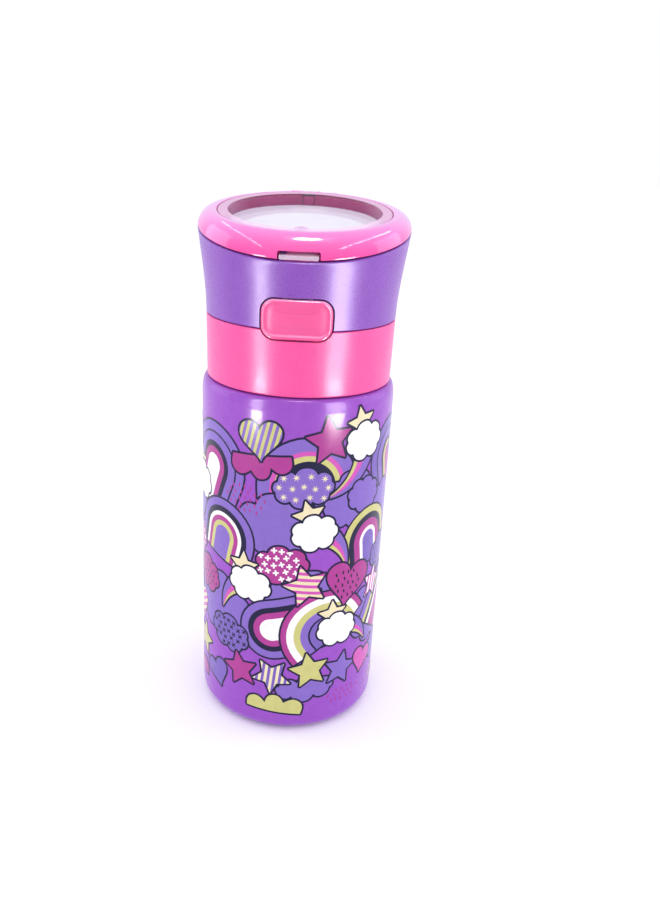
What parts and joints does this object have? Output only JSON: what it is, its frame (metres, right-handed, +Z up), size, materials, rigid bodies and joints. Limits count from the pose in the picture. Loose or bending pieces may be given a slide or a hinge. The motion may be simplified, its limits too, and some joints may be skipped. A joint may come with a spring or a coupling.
{
  "type": "insulated drinking bottle",
  "caption": "Insulated child's drinking bottle with a screw cap, push-button flip-up lid with a clear window, folding soft spout, straw and a carry loop at the back.",
  "frame": {"origin": "centre of the base, on the surface it stands on", "axes": "+Z up along the bottle, -Y towards the button at the front, +X to the right seen from the front"},
  "size_m": [0.075, 0.1019, 0.2002],
  "materials": {
    "painted_shell": "gloss violet paint with an all-over printed pattern",
    "steel": "brushed stainless steel",
    "band_pink": "satin, finely textured",
    "collar_purple": "satin, finely textured",
    "lid_pink": "gloss",
    "button_pink": "soft gloss",
    "clear_plastic": "clear",
    "silicone_pink": "soft matt silicone",
    "silicone_clear": "milky silicone",
    "straw_plastic": "milky",
    "catch_white": "matt",
    "spring_steel": "bright wire"
  },
  "bodies": {
    "bottle": {"outer_shell": "painted_shell", "inner_flask": "steel", "base_plate": "steel"},
    "neck_seal": {"cap_gasket": "silicone_clear"},
    "cap": {"cap_base": "band_pink", "collar": "collar_purple", "deck": "collar_purple", "spout_boot": "silicone_pink", "straw": "straw_plastic", "vent_valve": "silicone_clear", "hinge_pin": "spring_steel", "lid_spring": "spring_steel", "button_spring": "spring_steel", "handle_pin_left": "spring_steel", "handle_pin_right": "spring_steel"},
    "lid": {"lid_bezel": "lid_pink", "lid_window": "clear_plastic"},
    "spout": {"spout": "silicone_pink"},
    "button": {"button": "button_pink", "latch_slider": "catch_white"},
    "handle": {"handle": "collar_purple"}
  },
  "joints": [
    {"name": "cap_lift", "type": "slide", "parent": "bottle", "child": "neck_seal", "axis": [0, 0, 1], "range_m": [0, 0.018]},
    {"name": "cap_turn", "type": "hinge", "parent": "neck_seal", "child": "cap", "pos_m": [0, 0, 0.15], "axis": [0, 0, 1], "range_deg": [0, 1080]},
    {"name": "lid_hinge", "type": "hinge", "parent": "cap", "child": "lid", "pos_m": [0, 0.0455, 0.1965], "axis": [-1, 0, 0], "range_deg": [0, 150]},
    {"name": "spout_fold", "type": "hinge", "parent": "cap", "child": "spout", "pos_m": [0, -0.0145, 0.1725], "axis": [1, 0, 0], "range_deg": [0, 81]},
    {"name": "button_press", "type": "slide", "parent": "cap", "child": "button", "axis": [0, 1, 0], "range_m": [0, 0.0012], "stiffness_N_per_m": 300, "deforming": ["button_spring"]},
    {"name": "handle_swing", "type": "hinge", "parent": "cap", "child": "handle", "pos_m": [0, 0.0388, 0.1815], "axis": [1, 0, 0], "range_deg": [-26, 90]}
  ],
  "couplings": [
    {"joint": "cap_lift", "follows": "cap_turn", "m_per_rad": 0.00095493},
    {"joint": "spout_fold", "follows": "lid_hinge", "ratio": 0.54}
  ]
}
